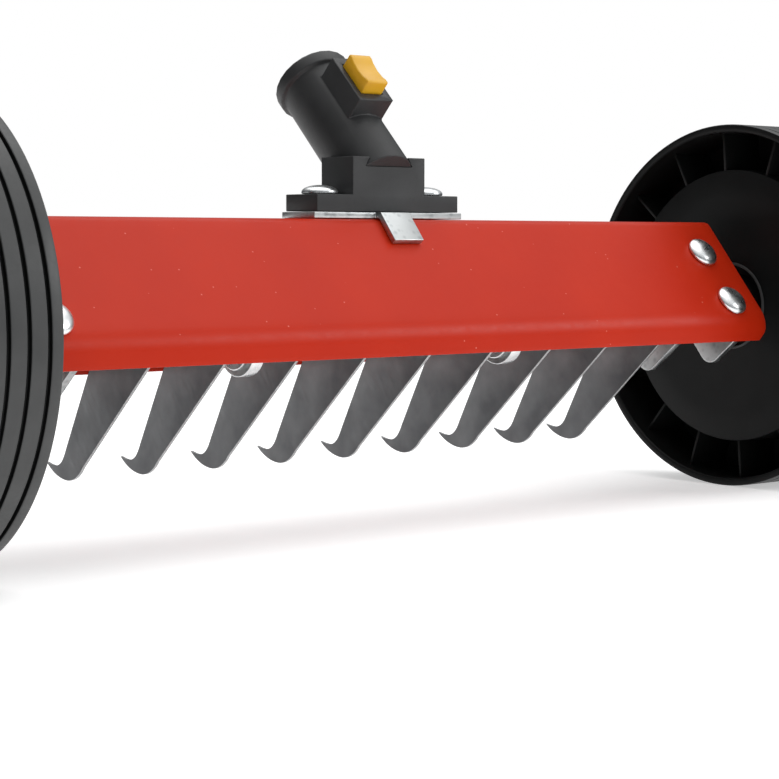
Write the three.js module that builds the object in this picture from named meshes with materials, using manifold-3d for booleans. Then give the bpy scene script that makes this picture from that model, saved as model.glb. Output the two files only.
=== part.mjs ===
// Hand-pulled lawn scarifier head: a folded sheet hood between two wide wheels, a swinging
// gang of sickle blades under it, and a quick-change socket for a long handle on top.
// Millimetres, +Z up. The origin is on the ground, midway between the wheels and under their
// axles. +Y points to the person who pulls the tool, and +X to the right seen from the front.

import * as THREE from "three";
import { mergeVertices } from "three/addons/utils/BufferGeometryUtils.js";
import Module from "manifold-3d";

const wasm = await Module();
wasm.setup();

// ---- driving dimensions -------------------------------------------------------------------

const GAP = 0.3; // seat gap between two pieces that touch

const WHEEL_RADIUS = 100;
const WHEEL_WIDTH = 47;
const GROOVE_PITCH = 8.7;
const GROOVE_WIDTH = 1.9;
const GROOVE_DEPTH = 1.6;
const RIM_WALL = 4.5;
const WHEEL_DISC_RADIUS = 75.3;
const WHEEL_DISC_INSET = 6;
const WHEEL_WALL = 3;
const WHEEL_RIBS = 16;
const WHEEL_RIB_THICKNESS = 2;
const WHEEL_RIB_START = -4.5; // degrees
const HUB_RING_RADIUS = 23.4;
const HUB_RING_DEPTH = 6;
const HUB_RADIUS = 17;
const HUB_POCKET_RADIUS = 32;
const HUB_POCKET_DEPTH = 14;

const WHEEL_AXLE_RADIUS = 6;
const BUSH_WALL = 2.4;

const HOOD_HALF_LENGTH = 226;
const WHEEL_INNER_X = HOOD_HALF_LENGTH + 16; // wheel's inner edge from the middle
const HOOD_FRONT_Y = -44;
const HOOD_REAR_Y = 43;
const HOOD_FRONT_EDGE_Z = WHEEL_RADIUS - 17; // heights are set from the wheels' axles
const HOOD_REAR_EDGE_Z = WHEEL_RADIUS - 24.8;
const HOOD_CREASE_Z = WHEEL_RADIUS - 5;
const HOOD_TOP_Z = WHEEL_RADIUS + 46;
const HOOD_TOP_DEPTH = 29;
const HOOD_SLOPE = THREE.MathUtils.degToRad(50.7);
const HOOD_SHEET = 1.5;
const HOOD_BEND_RADIUS = 6;
const HOOD_CREASE_RADIUS = 16;
const HOOD_CORNER_CHAMFER = 5;

const GANG_Y = -13; // axle that the blades swing on
const GANG_Z = WHEEL_RADIUS - 11.5;
const GANG_AXLE_RADIUS = 5;
const BLADE_COUNT = 9;
const BLADE_END_ROOM = 27; // from an end blade to its bracket, for the return spring
const BLADE_THICKNESS = 1.5;
const SPACER_WALL = 1.7;
const FLANGE_RIM = 3.5;
const FLANGE_THICKNESS = 1.6;

const HANGER_THICKNESS = 6.5;
const HANGER_RADIUS = 13.6;
const HANGER_SHIFT = 1.5; // to the right of the middle of its space
const HANGER_GAPS = [1, 5]; // the spaces between blades that hold a hanger, counted from the left

const BRACKET_SHEET = 4;
const BRACKET_OUTER_X = HOOD_HALF_LENGTH - 5;
const BRACKET_INNER_X = BRACKET_OUTER_X - 36;
const BRACKET_LENGTH = 53; // along the hood's slope
const INNER_WEB_DEPTH = 58;
const OUTER_WEB_DEPTH = 43;
const INNER_WEB_START = 6.5; // how far up the slope each web begins
const OUTER_WEB_START = -0.9;
const WEB_CORNER = 7;

const RIGHT_BOLT_X = BRACKET_OUTER_X - 15.2;
const LEFT_BOLT_X = BRACKET_OUTER_X - 12;
const BOLT_ALONG = [11.4, 44.2]; // up the slope from the crease
const BOLT_RADIUS = 4;
const BOLT_HEAD_RADIUS = 8.7;
const BOLT_HEAD_HEIGHT = 4.2;
const NUT_ACROSS_FLATS = 13;
const NUT_HEIGHT = 6.5;

const SPRING_WIRE = 2;
const SPRING_TURNS = 5.5;
const SPRING_LENGTH = 17;

const SADDLE_SHEET = 3;
const SADDLE_TONGUE_WIDTH = 18;
const SADDLE_TONGUE = 15.5;

const SOCKET_RADIUS = 18;
const CHEEK = 4.5; // wall of the foot on each side of the socket
const SOCKET_BOLT_X = SOCKET_RADIUS + CHEEK + 10.5;
const SADDLE_LENGTH = 2 * SOCKET_BOLT_X + 26;
const SOCKET_BORE = 12.8;
const SOCKET_LENGTH = 74;
const SOCKET_DEPTH = 58;
const SOCKET_TILT = THREE.MathUtils.degToRad(45);
const BUTTON_WIDTH = 13;
const BUTTON_LENGTH = 20;
const BUTTON_TRAVEL = 4;

// ---- materials ----------------------------------------------------------------------------

function paint(color, roughness, metalness) {
  return new THREE.MeshStandardMaterial({ color, roughness, metalness });
}

const redPaint = paint(0xc4301f, 0.4, 0.1);
const zincPlate = paint(0xb9bdc0, 0.35, 0.9);
const brightZinc = paint(0xd2d6d8, 0.2, 1.0);
const bladeSteel = paint(0x55585b, 0.5, 0.7);
const springSteel = paint(0x8a8c8e, 0.35, 0.9);
const blackPlastic = paint(0x333536, 0.55, 0.0);
const palePlastic = paint(0xd8d5cc, 0.5, 0.0);
const buttonPlastic = paint(0xe0b01c, 0.45, 0.0);

// ---- solids -------------------------------------------------------------------------------

// A closed three.js geometry as a manifold solid, turned right side out if it has to be.
function solidOf(geometry) {
  const bare = geometry.index ? geometry.toNonIndexed() : geometry.clone();
  bare.deleteAttribute("normal");
  bare.deleteAttribute("uv");
  const merged = mergeVertices(bare, 1e-4);
  const index = Uint32Array.from(merged.index.array);
  const position = Float32Array.from(merged.attributes.position.array);
  if (signedVolume(position, index) < 0) {
    for (let i = 0; i < index.length; i += 3) {
      [index[i + 1], index[i + 2]] = [index[i + 2], index[i + 1]];
    }
  }
  const mesh = new wasm.Mesh({ numProp: 3, vertProperties: position, triVerts: index });
  return new wasm.Manifold(mesh);
}

function signedVolume(position, index) {
  const a = new THREE.Vector3();
  const b = new THREE.Vector3();
  const c = new THREE.Vector3();
  let volume = 0;
  for (let i = 0; i < index.length; i += 3) {
    a.fromArray(position, index[i] * 3);
    b.fromArray(position, index[i + 1] * 3);
    c.fromArray(position, index[i + 2] * 3);
    volume += a.dot(b.cross(c)) / 6;
  }
  return volume;
}

function geometryOf(solid) {
  const mesh = solid.getMesh();
  const geometry = new THREE.BufferGeometry();
  geometry.setAttribute("position", new THREE.BufferAttribute(mesh.vertProperties, 3));
  geometry.setIndex(new THREE.BufferAttribute(mesh.triVerts, 1));
  geometry.computeVertexNormals();
  return geometry;
}

// Lays a geometry's own x, y, z along Y, Z and X, as for an outline drawn from the side.
const SIDE_VIEW = new THREE.Matrix4().makeBasis(
  new THREE.Vector3(0, 1, 0),
  new THREE.Vector3(0, 0, 1),
  new THREE.Vector3(1, 0, 0),
);

// A side outline in (Y, Z), extruded along X between two places.
function sideways(shape, from, to, curveSegments = 6) {
  const depth = to - from;
  const geometry = new THREE.ExtrudeGeometry(shape, { depth, bevelEnabled: false, curveSegments });
  geometry.applyMatrix4(SIDE_VIEW);
  geometry.translate(from, 0, 0);
  return solidOf(geometry);
}

// A closed profile of [radius, height] pairs turned about the Z axis.
function turned(profile, segments) {
  const points = profile.map(([radius, height]) => new THREE.Vector2(radius, height));
  if (profile[0][0] > 0) {
    points.push(points[0].clone());
  }
  const geometry = new THREE.LatheGeometry(points, segments);
  geometry.rotateX(Math.PI / 2);
  return solidOf(geometry);
}

function rod(radius, from, to, segments = 16) {
  return turned([[0, from], [radius, from], [radius, to], [0, to]], segments);
}

function tube(outer, inner, from, to, segments = 16) {
  return turned([[inner, from], [outer, from], [outer, to], [inner, to]], segments);
}

function hexagon(acrossFlats, from, to) {
  return rod(acrossFlats / Math.sqrt(3), from, to, 6);
}

// Turns a solid made about the Z axis so that it lies about the X axis.
function alongX(solid) {
  return solid.rotate([0, 90, 0]);
}

function block(width, depth, height) {
  return solidOf(new THREE.BoxGeometry(width, depth, height));
}

// ---- the scene graph ----------------------------------------------------------------------

const scarifier = new THREE.Group();

function add(name, geometry, material, parent = scarifier) {
  const mesh = new THREE.Mesh(geometry, material);
  mesh.name = name;
  parent.add(mesh);
  return mesh;
}

// ---- hood ---------------------------------------------------------------------------------

const alongSlope = new THREE.Vector2(Math.cos(HOOD_SLOPE), Math.sin(HOOD_SLOPE));
const intoHood = new THREE.Vector2(Math.sin(HOOD_SLOPE), -Math.cos(HOOD_SLOPE));
const crease = new THREE.Vector2(HOOD_FRONT_Y, HOOD_CREASE_Z);

// A side-view point measured up the hood's front slope from its crease, and square into it.
function slopePoint(along, depth) {
  return crease.clone().addScaledVector(alongSlope, along).addScaledVector(intoHood, depth);
}

const topFrontY = HOOD_FRONT_Y + (HOOD_TOP_Z - HOOD_CREASE_Z) / Math.tan(HOOD_SLOPE);
const topRearY = topFrontY + HOOD_TOP_DEPTH;

// The corners of the sheet's outer face from the front edge over the top to the rear edge.
const HOOD_CORNERS = [
  new THREE.Vector2(HOOD_FRONT_Y, HOOD_FRONT_EDGE_Z),
  crease,
  new THREE.Vector2(topFrontY, HOOD_TOP_Z),
  new THREE.Vector2(topRearY, HOOD_TOP_Z),
  new THREE.Vector2(HOOD_REAR_Y, HOOD_CREASE_Z),
  new THREE.Vector2(HOOD_REAR_Y, HOOD_REAR_EDGE_Z),
];

// The corners of a face that lies inside the hood's outer face by the given distance.
function hoodCorners(inset) {
  const corners = HOOD_CORNERS;
  return corners.map((corner, i) => {
    const before = corners[Math.max(i - 1, 0)];
    const after = corners[Math.min(i + 1, corners.length - 1)];
    const inDirection = corner.clone().sub(i === 0 ? after : before).normalize();
    const outDirection = after.clone().sub(i === corners.length - 1 ? before : corner).normalize();
    const first = i === 0 ? outDirection : inDirection;
    const last = i === corners.length - 1 ? inDirection : outDirection;
    const normal = new THREE.Vector2(first.y + last.y, -first.x - last.x).normalize();
    const cosine = normal.dot(new THREE.Vector2(first.y, -first.x));
    return corner.clone().addScaledVector(normal, inset / cosine);
  });
}

// The bend radius at every inner corner of a face inside the hood's outer face.
function bendRadii(inset) {
  const outer = [HOOD_CREASE_RADIUS, HOOD_BEND_RADIUS, HOOD_BEND_RADIUS, HOOD_BEND_RADIUS];
  return outer.map((radius) => radius - inset);
}

// A run of corners with every inner one rounded.
function roundedRun(corners, radii) {
  const points = [corners[0]];
  for (let i = 1; i < corners.length - 1; i += 1) {
    const toBefore = corners[i - 1].clone().sub(corners[i]).normalize();
    const toAfter = corners[i + 1].clone().sub(corners[i]).normalize();
    const half = Math.acos(THREE.MathUtils.clamp(toBefore.dot(toAfter), -1, 1)) / 2;
    const reach = radii[i - 1] / Math.tan(half);
    const start = corners[i].clone().addScaledVector(toBefore, reach);
    const end = corners[i].clone().addScaledVector(toAfter, reach);
    const bend = new THREE.QuadraticBezierCurve(start, corners[i], end);
    points.push(...bend.getPoints(4));
  }
  points.push(corners[corners.length - 1]);
  return points;
}

// The space between two faces that run along the hood's sheet.
function sheetBetween(outerInset, innerInset, halfLength) {
  const outer = roundedRun(hoodCorners(outerInset), bendRadii(outerInset));
  const inner = roundedRun(hoodCorners(innerInset), bendRadii(innerInset));
  const shape = new THREE.Shape([...outer, ...inner.reverse()]);
  return sideways(shape, -halfLength, halfLength);
}

function makeHood() {
  let hood = sheetBetween(0, HOOD_SHEET, HOOD_HALF_LENGTH);
  for (const side of [-1, 1]) {
    const cut = block(HOOD_CORNER_CHAMFER * Math.SQRT2, 40, HOOD_CORNER_CHAMFER * Math.SQRT2)
      .rotate([0, 45, 0])
      .translate([side * HOOD_HALF_LENGTH, HOOD_FRONT_Y, HOOD_FRONT_EDGE_Z]);
    hood = hood.subtract(cut);
    for (const along of BOLT_ALONG) {
      hood = hood.subtract(slopeHole(side > 0 ? RIGHT_BOLT_X : -LEFT_BOLT_X, along, 12));
    }
    const hole = rod(BOLT_RADIUS + GAP, -10, 10, 16)
      .translate([side * SOCKET_BOLT_X, topMiddleY, HOOD_TOP_Z]);
    hood = hood.subtract(hole);
  }
  return geometryOf(hood);
}

const topMiddleY = (topFrontY + topRearY) / 2;

// A bolt hole square through the front slope.
function slopeHole(x, along, depth) {
  const place = slopePoint(along, 0);
  return rod(BOLT_RADIUS + GAP, -depth, depth, 16)
    .rotate([THREE.MathUtils.radToDeg(HOOD_SLOPE), 0, 0])
    .translate([x, place.x, place.y]);
}

add("hood", makeHood(), redPaint);

// ---- side brackets ------------------------------------------------------------------------

const bracketDepth = HOOD_SHEET + GAP; // from the hood's outer face to the bracket's base

// One web of a side bracket, with a rounded lower corner.
function bracketWeb(start, depth) {
  const shape = new THREE.Shape();
  const corner = slopePoint(start, depth);
  const cornerIn = slopePoint(start, depth - WEB_CORNER);
  const cornerOut = slopePoint(start + WEB_CORNER, depth);
  const foot = slopePoint(start, bracketDepth);
  const low = slopePoint(start, bracketDepth + 6);
  shape.moveTo(foot.x, foot.y);
  shape.lineTo(low.x, low.y);
  shape.lineTo(cornerIn.x, cornerIn.y);
  shape.quadraticCurveTo(corner.x, corner.y, cornerOut.x, cornerOut.y);
  for (const [along, into] of [[BRACKET_LENGTH - 12, depth], [BRACKET_LENGTH, depth - 16]]) {
    const point = slopePoint(along, into);
    shape.lineTo(point.x, point.y);
  }
  const head = slopePoint(BRACKET_LENGTH, bracketDepth);
  shape.lineTo(head.x, head.y);
  return shape;
}

function bracketBase() {
  const shape = new THREE.Shape();
  const start = Math.max(INNER_WEB_START, OUTER_WEB_START);
  const outline = [
    slopePoint(start, bracketDepth),
    slopePoint(start, bracketDepth + BRACKET_SHEET),
    slopePoint(BRACKET_LENGTH, bracketDepth + BRACKET_SHEET),
    slopePoint(BRACKET_LENGTH, bracketDepth),
  ];
  shape.setFromPoints(outline);
  return shape;
}

// The outer web begins below the crease, where the sheet bends down, so the bracket is cut
// back to leave the sheet room.
function makeSideBracket(boltX) {
  const inner = bracketWeb(INNER_WEB_START, INNER_WEB_DEPTH);
  const outer = bracketWeb(OUTER_WEB_START, OUTER_WEB_DEPTH);
  let bracket = sideways(inner, BRACKET_INNER_X, BRACKET_INNER_X + BRACKET_SHEET)
    .add(sideways(outer, BRACKET_OUTER_X - BRACKET_SHEET, BRACKET_OUTER_X))
    .add(sideways(bracketBase(), BRACKET_INNER_X, BRACKET_OUTER_X))
    .subtract(sheetBetween(-1, HOOD_SHEET + GAP, HOOD_HALF_LENGTH));
  for (const along of BOLT_ALONG) {
    bracket = bracket.subtract(slopeHole(boltX, along, 14));
  }
  const wheelHole = alongX(rod(WHEEL_AXLE_RADIUS + GAP, BRACKET_INNER_X - 5, BRACKET_OUTER_X + 5))
    .translate([0, 0, WHEEL_RADIUS]);
  const gangHole = alongX(rod(GANG_AXLE_RADIUS + GAP, BRACKET_INNER_X - 5, BRACKET_OUTER_X - 8))
    .translate([0, GANG_Y, GANG_Z]);
  return bracket.subtract(wheelHole).subtract(gangHole);
}

const leftBracket = makeSideBracket(LEFT_BOLT_X).mirror([1, 0, 0]);
add("right_side_bracket", geometryOf(makeSideBracket(RIGHT_BOLT_X)), zincPlate);
add("left_side_bracket", geometryOf(leftBracket), zincPlate);

// ---- wheels -------------------------------------------------------------------------------

// The tread's profile from the wheel's inner edge to its outer edge, a groove at every pitch.
function treadProfile() {
  const profile = [[WHEEL_RADIUS - 0.8, 0], [WHEEL_RADIUS, 0.8]];
  const grooves = Math.floor((WHEEL_WIDTH - GROOVE_PITCH) / GROOVE_PITCH) + 1;
  const first = (WHEEL_WIDTH - (grooves - 1) * GROOVE_PITCH) / 2;
  for (let i = 0; i < grooves; i += 1) {
    const middle = first + i * GROOVE_PITCH;
    profile.push([WHEEL_RADIUS, middle - GROOVE_WIDTH / 2]);
    profile.push([WHEEL_RADIUS - GROOVE_DEPTH, middle]);
    profile.push([WHEEL_RADIUS, middle + GROOVE_WIDTH / 2]);
  }
  profile.push([WHEEL_RADIUS, WHEEL_WIDTH - 0.8], [WHEEL_RADIUS - 0.8, WHEEL_WIDTH]);
  return profile;
}

const bushOuter = WHEEL_AXLE_RADIUS + GAP + BUSH_WALL;
const hubBore = bushOuter + GAP;
const wheelFace = WHEEL_WIDTH - 3.5; // the wheel's outer face, just inside its edge
const recessFloor = WHEEL_WIDTH - 11;
const rimInner = WHEEL_RADIUS - RIM_WALL;
const hubStart = 3;
const hubEnd = wheelFace - HUB_POCKET_DEPTH;

const WHEEL_SEGMENTS = 32;

// A hollow moulded wheel about the Z axis, its inner edge at 0 and its outer face upwards.
function makeWheel() {
  const skin = turned([
    [hubBore, hubStart],
    [HUB_RADIUS, hubStart],
    [HUB_RADIUS, WHEEL_DISC_INSET + HUB_RING_DEPTH],
    [HUB_RING_RADIUS, WHEEL_DISC_INSET + HUB_RING_DEPTH],
    [HUB_RING_RADIUS, WHEEL_DISC_INSET],
    [WHEEL_DISC_RADIUS, WHEEL_DISC_INSET],
    [WHEEL_DISC_RADIUS, recessFloor],
    [rimInner, recessFloor],
    [rimInner, 0],
    ...treadProfile(),
    [rimInner - 2, WHEEL_WIDTH],
    [rimInner - 4, wheelFace],
    [HUB_POCKET_RADIUS, wheelFace],
    [HUB_POCKET_RADIUS, hubEnd],
    [hubBore, hubEnd],
  ], WHEEL_SEGMENTS);
  const cavityStart = WHEEL_DISC_INSET + WHEEL_WALL + 1;
  const cavityOuter = WHEEL_DISC_RADIUS - WHEEL_WALL;
  const cavityInner = HUB_RING_RADIUS + WHEEL_WALL;
  const hollow = turned([
    [cavityInner, cavityStart],
    [cavityOuter, cavityStart],
    [cavityOuter, wheelFace - WHEEL_WALL],
    [HUB_POCKET_RADIUS + WHEEL_WALL, wheelFace - WHEEL_WALL],
    [HUB_POCKET_RADIUS + WHEEL_WALL, hubEnd - WHEEL_WALL],
    [cavityInner, hubEnd - WHEEL_WALL],
  ], 24);
  const ventHole = rod(2.5, 0, cavityStart + 2, 8).translate([0, WHEEL_DISC_RADIUS - 18, 0]);
  let wheel = skin.subtract(hollow).subtract(ventHole);
  const ribDepth = recessFloor - WHEEL_DISC_INSET - 2;
  const ribLength = rimInner - WHEEL_DISC_RADIUS + 3;
  for (let i = 0; i < WHEEL_RIBS; i += 1) {
    const rib = block(WHEEL_RIB_THICKNESS, ribLength, ribDepth + 2)
      .translate([0, (rimInner + WHEEL_DISC_RADIUS) / 2, recessFloor - ribDepth / 2 + 1])
      .rotate([0, 0, WHEEL_RIB_START + (i * 360) / WHEEL_RIBS]);
    wheel = wheel.add(rib);
  }
  return wheel;
}

const wheelAxleHeadX = BRACKET_INNER_X - GAP;
const hubFaceX = WHEEL_INNER_X + hubEnd;
const nutX = hubFaceX + GAP;

// A shouldered bolt from inside the bracket to the wheel's nut, about the Z axis.
function makeWheelAxle() {
  return hexagon(2 * WHEEL_AXLE_RADIUS + 5, wheelAxleHeadX - 5, wheelAxleHeadX)
    .add(rod(WHEEL_AXLE_RADIUS, wheelAxleHeadX - 1, nutX + 9));
}

// A cap that closes the pocket over the nut, about the Z axis.
function makeHubCap() {
  const radius = HUB_POCKET_RADIUS - GAP;
  const seat = wheelFace - 4;
  return turned([
    [0, seat + 2],
    [radius - 3, seat + 2],
    [radius - 3, seat - 5],
    [radius, seat - 5],
    [radius, wheelFace - 0.5],
    [radius * 0.8, wheelFace + 1.6],
    [radius * 0.4, wheelFace + 2.6],
    [0, wheelFace + 3],
  ], 24);
}

const wheelPieces = [
  ["wheel", makeWheel().translate([0, 0, WHEEL_INNER_X]), blackPlastic],
  ["wheel_bush", tube(bushOuter, WHEEL_AXLE_RADIUS + GAP, hubStart, hubEnd)
    .translate([0, 0, WHEEL_INNER_X]), palePlastic],
  ["hub_cap", makeHubCap().translate([0, 0, WHEEL_INNER_X]), blackPlastic],
  ["wheel_axle", makeWheelAxle(), brightZinc],
  ["axle_spacer", tube(WHEEL_AXLE_RADIUS + 3, WHEEL_AXLE_RADIUS + GAP, BRACKET_OUTER_X + GAP,
    WHEEL_INNER_X + hubStart - GAP), brightZinc],
  ["axle_nut", hexagon(2 * WHEEL_AXLE_RADIUS + 7, nutX, nutX + 7)
    .subtract(rod(WHEEL_AXLE_RADIUS + GAP, nutX - 1, nutX + 9)), brightZinc],
];

for (const [side, name] of [[1, "right"], [-1, "left"]]) {
  const group = new THREE.Group();
  group.position.z = WHEEL_RADIUS;
  group.rotation.y = side * (Math.PI / 2);
  scarifier.add(group);
  for (const [piece, solid, material] of wheelPieces) {
    add(`${name}_${piece}`, geometryOf(solid), material, group);
  }
}

// ---- blade gang ---------------------------------------------------------------------------

// A sickle blade in the side view, measured from the axle. Its point faces the person.
function bladeShape() {
  const shape = new THREE.Shape();
  shape.moveTo(24, 0.5);
  shape.lineTo(49.8, -46.2);
  shape.bezierCurveTo(52, -50.8, 54.6, -54.2, 60, -53.9);
  shape.quadraticCurveTo(63.4, -53.6, 66.2, -52.8);
  shape.bezierCurveTo(61.5, -57.2, 55, -59.7, 49, -59.9);
  shape.bezierCurveTo(43.5, -60, 39, -57.2, 35.9, -53.2);
  shape.lineTo(-22, -1.5);
  shape.bezierCurveTo(-24, 12, -13, 20, -2, 20);
  shape.bezierCurveTo(9, 20, 18.5, 10.5, 24, 0.5);
  return shape;
}

function makeBlade() {
  const half = BLADE_THICKNESS / 2;
  const hole = alongX(rod(GANG_AXLE_RADIUS + GAP, -half - 1, half + 1));
  return sideways(bladeShape(), -half, half, 6).subtract(hole);
}

const gang = new THREE.Group();
gang.position.set(0, GANG_Y, GANG_Z);
scarifier.add(gang);

const bladeReach = BRACKET_INNER_X - BLADE_END_ROOM;
const BLADE_PITCH = (2 * bladeReach) / (BLADE_COUNT - 1);
const bladeX = (index) => (index - (BLADE_COUNT - 1) / 2) * BLADE_PITCH;
const axleEnd = BRACKET_INNER_X + BRACKET_SHEET + 5;

const axle = alongX(rod(GANG_AXLE_RADIUS, -axleEnd, axleEnd));
add("blade_axle", geometryOf(axle), brightZinc, gang);

const blade = geometryOf(makeBlade());
for (let i = 0; i < BLADE_COUNT; i += 1) {
  add(`blade_${i + 1}`, blade, bladeSteel, gang).position.x = bladeX(i);
}

const spacerBore = GANG_AXLE_RADIUS + GAP;
const spacerRadius = spacerBore + SPACER_WALL;
const flangeRadius = spacerRadius + FLANGE_RIM;
const bladeSeat = BLADE_THICKNESS / 2 + GAP;

// A plain sleeve that keeps two blades apart, or two flanged ones on both sides of a hanger.
function addSpacers() {
  const plain = geometryOf(alongX(tube(spacerRadius, spacerBore, bladeSeat, BLADE_PITCH - bladeSeat)));
  const hangerSeat = BLADE_PITCH / 2 - HANGER_THICKNESS / 2 - GAP;
  const flanged = (seat) => alongX(turned([
    [spacerBore, bladeSeat],
    [spacerRadius, bladeSeat],
    [spacerRadius, seat - FLANGE_THICKNESS],
    [flangeRadius, seat - FLANGE_THICKNESS],
    [flangeRadius, seat],
    [spacerBore, seat],
  ], 16));
  const flangedRight = geometryOf(flanged(hangerSeat + HANGER_SHIFT));
  const flangedLeft = geometryOf(flanged(hangerSeat - HANGER_SHIFT).mirror([1, 0, 0]));
  for (let i = 0; i < BLADE_COUNT - 1; i += 1) {
    if (HANGER_GAPS.includes(i)) {
      add(`spacer_${i + 1}_left`, flangedRight, brightZinc, gang).position.x = bladeX(i);
      add(`spacer_${i + 1}_right`, flangedLeft, brightZinc, gang).position.x = bladeX(i + 1);
    } else {
      add(`spacer_${i + 1}`, plain, brightZinc, gang).position.x = bladeX(i);
    }
  }
}

addSpacers();

// A push-on ring outside each bracket that keeps the axle in.
const clip = tube(GANG_AXLE_RADIUS + 3, GANG_AXLE_RADIUS + GAP, 0, 2);
for (const [side, name] of [[1, "right"], [-1, "left"]]) {
  const ring = add(`${name}_axle_ring`, geometryOf(alongX(clip)), springSteel, gang);
  ring.position.x = side * (BRACKET_INNER_X + BRACKET_SHEET + 1.4) - 1;
}

// A torsion spring round each end of the axle, with one leg up inside the hood.
class Coil extends THREE.Curve {
  constructor(radius, length, turns, leg) {
    super();
    this.radius = radius;
    this.length = length;
    this.turns = turns;
    this.leg = leg;
  }

  getPoint(t, target = new THREE.Vector3()) {
    const legShare = 0.08;
    if (t > 1 - legShare) {
      const rise = ((t - (1 - legShare)) / legShare) * this.leg;
      return target.set(this.length, -this.radius, rise);
    }
    const turn = (t / (1 - legShare)) * this.turns * 2 * Math.PI;
    const x = (t / (1 - legShare)) * this.length;
    return target.set(x, this.radius * Math.cos(turn), this.radius * Math.sin(turn));
  }
}

function makeSpring() {
  const radius = GANG_AXLE_RADIUS + 0.5 + SPRING_WIRE / 2;
  const path = new Coil(radius, SPRING_LENGTH, SPRING_TURNS, 20);
  const section = new THREE.Shape();
  section.absarc(0, 0, SPRING_WIRE / 2, 0, 2 * Math.PI, false);
  const geometry = new THREE.ExtrudeGeometry(section, {
    steps: 56,
    curveSegments: 3,
    bevelEnabled: false,
    extrudePath: path,
  });
  return solidOf(geometry);
}

const spring = makeSpring();
const springX = bladeX(BLADE_COUNT - 1) + BLADE_THICKNESS / 2 + SPRING_WIRE / 2 + 0.5;
const rightSpring = add("right_return_spring", geometryOf(spring), springSteel);
rightSpring.position.set(springX, GANG_Y, GANG_Z);
const leftSpring = add("left_return_spring", geometryOf(spring.mirror([1, 0, 0])), springSteel);
leftSpring.position.set(-springX, GANG_Y, GANG_Z);

// ---- hangers ------------------------------------------------------------------------------

// A flat bar from under the hood down round the axle.
function makeHanger() {
  const roof = hoodCorners(HOOD_SHEET + GAP);
  const slope = Math.tan(HOOD_SLOPE);
  const left = GANG_Y - HANGER_RADIUS;
  const right = GANG_Y + HANGER_RADIUS;
  const top = roof[2].y - HOOD_BEND_RADIUS / 2;
  const shape = new THREE.Shape();
  shape.moveTo(right, top);
  shape.lineTo(Math.min(right, roof[1].x + (top - roof[1].y) / slope), top);
  shape.lineTo(left, roof[1].y + (left - roof[1].x) * slope);
  shape.absarc(GANG_Y, GANG_Z, HANGER_RADIUS, Math.PI, 2 * Math.PI, false);
  const hole = alongX(rod(GANG_AXLE_RADIUS + GAP, -10, 10)).translate([0, GANG_Y, GANG_Z]);
  return sideways(shape, -HANGER_THICKNESS / 2, HANGER_THICKNESS / 2, 12).subtract(hole);
}

const hanger = geometryOf(makeHanger());
for (const [i, name] of [[0, "left"], [1, "right"]]) {
  const middle = bladeX(HANGER_GAPS[i]) + BLADE_PITCH / 2 + HANGER_SHIFT;
  add(`${name}_hanger`, hanger, zincPlate).position.x = middle;
}

// ---- bolts and nuts -----------------------------------------------------------------------

// A dome-headed bolt about the Z axis, its head seated at 0.
function makeDomeBolt(length) {
  const dome = [[0, BOLT_HEAD_HEIGHT]];
  for (const share of [0.4, 0.75]) {
    dome.unshift([BOLT_HEAD_RADIUS * share, BOLT_HEAD_HEIGHT * Math.sqrt(1 - share * share)]);
  }
  return turned([
    [0, -length],
    [BOLT_RADIUS, -length],
    [BOLT_RADIUS, 0],
    [BOLT_HEAD_RADIUS, 0],
    [BOLT_HEAD_RADIUS, 0.6],
    ...dome,
  ], 16);
}

function makeNut() {
  return hexagon(NUT_ACROSS_FLATS, -NUT_HEIGHT, 0)
    .subtract(rod(BOLT_RADIUS + GAP, -NUT_HEIGHT - 1, 1));
}

const nut = geometryOf(makeNut());
const sideBolt = geometryOf(makeDomeBolt(HOOD_SHEET + BRACKET_SHEET + NUT_HEIGHT + 4));

for (const [side, sideName] of [[1, "right"], [-1, "left"]]) {
  BOLT_ALONG.forEach((along, i) => {
    const level = i === 0 ? "lower" : "upper";
    const group = new THREE.Group();
    const seat = slopePoint(along, 0);
    group.position.set(side > 0 ? RIGHT_BOLT_X : -LEFT_BOLT_X, seat.x, seat.y);
    group.rotation.x = HOOD_SLOPE;
    scarifier.add(group);
    add(`${sideName}_${level}_bolt`, sideBolt, brightZinc, group).position.z = GAP;
    const nutZ = -(bracketDepth + BRACKET_SHEET + GAP);
    add(`${sideName}_${level}_nut`, nut, brightZinc, group).position.z = nutZ;
  });
}

// ---- handle saddle ------------------------------------------------------------------------

const saddleSeatZ = HOOD_TOP_Z + GAP;
const saddleTopZ = saddleSeatZ + SADDLE_SHEET;

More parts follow.
